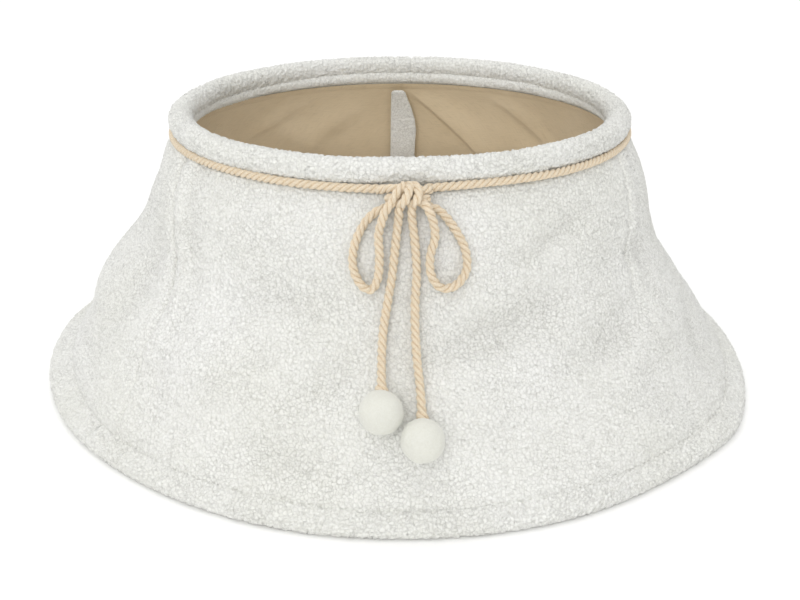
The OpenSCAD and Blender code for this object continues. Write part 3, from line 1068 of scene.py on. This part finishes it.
def neck_cord(section):
    """The cord under the roll, with a gap for the knot."""
    spans = [SECTORS[section]]
    if section == "front":
        spans = [(FRONT[0], KNOT_FROM), (KNOT_TO, FRONT[1])]
    paths = []
    for low, high in spans:
        angles = np.linspace(low, high, 40)
        lift = soft_noise(around(np.full(40, CORD_R), angles, np.zeros(40)), 70 * MM, 9) * 0.7 * MM
        lift = lift + CORD_LIFT * np.exp(-(turn(angles, 22) / 17) ** 2)
        tuck = CORD_TUCK * (1 - np.exp(-(turn(angles, 2) / 40) ** 2))
        paths.append(around(CORD_R + 0.6 * MM - tuck, angles, CORD_Z + 2.6 * MM + lift))
    obj = rope_mesh("cord_neck_" + section, paths)
    move_with(obj, section)
    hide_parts("neck_cord_" + section)
    return obj


# ---------------------------------------------------------------- felt balls

def felt_ball(name, node, body):
    """A felted wool ball, a little uneven."""
    low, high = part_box(node)
    centre = (low + high) / 2
    radius = (high.z - low.z) / 2
    mesh = bpy.data.meshes.new(name)
    shape = bmesh.new()
    bmesh.ops.create_icosphere(shape, subdivisions=6, radius=1)
    shape.to_mesh(mesh)
    shape.free()
    co = np.empty(len(mesh.vertices) * 3, np.float32)
    mesh.vertices.foreach_get("co", co)
    unit = co.reshape(-1, 3).astype(float)
    unit /= np.linalg.norm(unit, axis=1)[:, None]
    at = unit * radius + np.array(centre)
    rough = (soft_noise(at, 9 * MM, 51) * 0.35 + soft_noise(at, 2.6 * MM, 52) * 0.16
             + soft_noise(at, 1.0 * MM, 53) * 0.12) * MM
    at = at + unit * (rough - 0.2 * MM)[:, None]
    mesh.vertices.foreach_set("co", at.astype(np.float32).ravel())
    mesh.shade_smooth()
    mesh.materials.append(FELT)
    obj = bpy.data.objects.new(name, mesh)
    bpy.context.collection.objects.link(obj)
    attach(obj, body)
    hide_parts(node)
    return obj


# ---------------------------------------------------------------- making it all

knot = rope_mesh("cord_knot", KNOT)
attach(knot, "front")
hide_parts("knot")

ball_left = felt_ball("felt_ball_left", "ball_left", "tail_left")
ball_right = felt_ball("felt_ball_right", "ball_right", "tail_right")


def hung_cord(name, route, fray=0.0, **kinds):
    """A rope of the bow, from inside the knot along its route."""
    rope = with_leads(name, route)
    cord = rope_mesh("cord_" + name, [rope], fray)
    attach(cord, name)
    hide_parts(name)


for name, route, ball in (("tail_left", TAIL_LEFT, ball_left), ("tail_right", TAIL_RIGHT, ball_right)):
    hung_cord(name, route, fray=0.5, far_end="fitting", with_pieces=[ball])

for name, route in (("loop_left", LOOP_LEFT), ("loop_right", LOOP_RIGHT)):
    hung_cord(name, route, far_end="object")

for section in SECTORS:
    neck_cord(section)
    wall = outer_panel(section)
    panel_flat(section)
    flat_area(section)
    inside = lining(section)
    panel_flat(section)
    flat_area(section)
    interlining(section)
    rim_cover(section)
    rim_facing(section)
    hem_casing(section)
    hoop("hoop_rim_", section, lambda a: rim_centre(a)[0], lambda a: rim_centre(a)[1],
         2.5 * MM, "rim_hoop_")
    hoop("hoop_hem_", section, lambda a: HEM_LOW[0] + hem_ring(a),
         lambda a: np.full(a.shape, HEM_LOW[1]), 2 * MM, "hem_hoop_")

closure_flap()

for name, material in (("hoop_caps_left", CAP), ("hoop_caps_right", CAP),
                       ("hook_tape", TAPE), ("loop_tape", TAPE)):
    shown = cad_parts[name]
    shown.data.materials.clear()
    shown.data.materials.append(material)


# ---------------------------------------------------------------- floor and studio light

FLOOR = 8.0                       # half its width
floor_mesh = bpy.data.meshes.new("floor")
floor_mesh.from_pydata([(-FLOOR, -FLOOR, 0), (FLOOR, -FLOOR, 0), (FLOOR, FLOOR, 0), (-FLOOR, FLOOR, 0)],
                       [], [(0, 1, 2, 3)])
floor = bpy.data.objects.new("floor", floor_mesh)
floor.location.z = -0.3 * MM
bpy.context.collection.objects.link(floor)
floor_mesh.materials.append(floor_material())


def wide_sun(name, towards, energy, spread):
    """A soft light from far away. spread is its width in degrees."""
    data = bpy.data.lights.new(name, "SUN")
    data.energy = energy
    data.angle = math.radians(spread)
    lamp = bpy.data.objects.new(name, data)
    lamp.rotation_euler = Vector(towards).to_track_quat("-Z", "Y").to_euler()
    bpy.context.collection.objects.link(lamp)


wide_sun("front", (0.18, 0.87, -0.46), 1.02, 40)
wide_sun("top", (0.1, -0.12, -1), 0.75, 60)

SKY = 0.76                        # brightness of the white all round
world = bpy.data.worlds.new("studio")
world.use_nodes = True
world.node_tree.nodes["Background"].inputs["Color"].default_value = (1, 1, 1, 1)
world.node_tree.nodes["Background"].inputs["Strength"].default_value = SKY
bpy.context.scene.world = world
bpy.context.scene.view_settings.view_transform = "Standard"
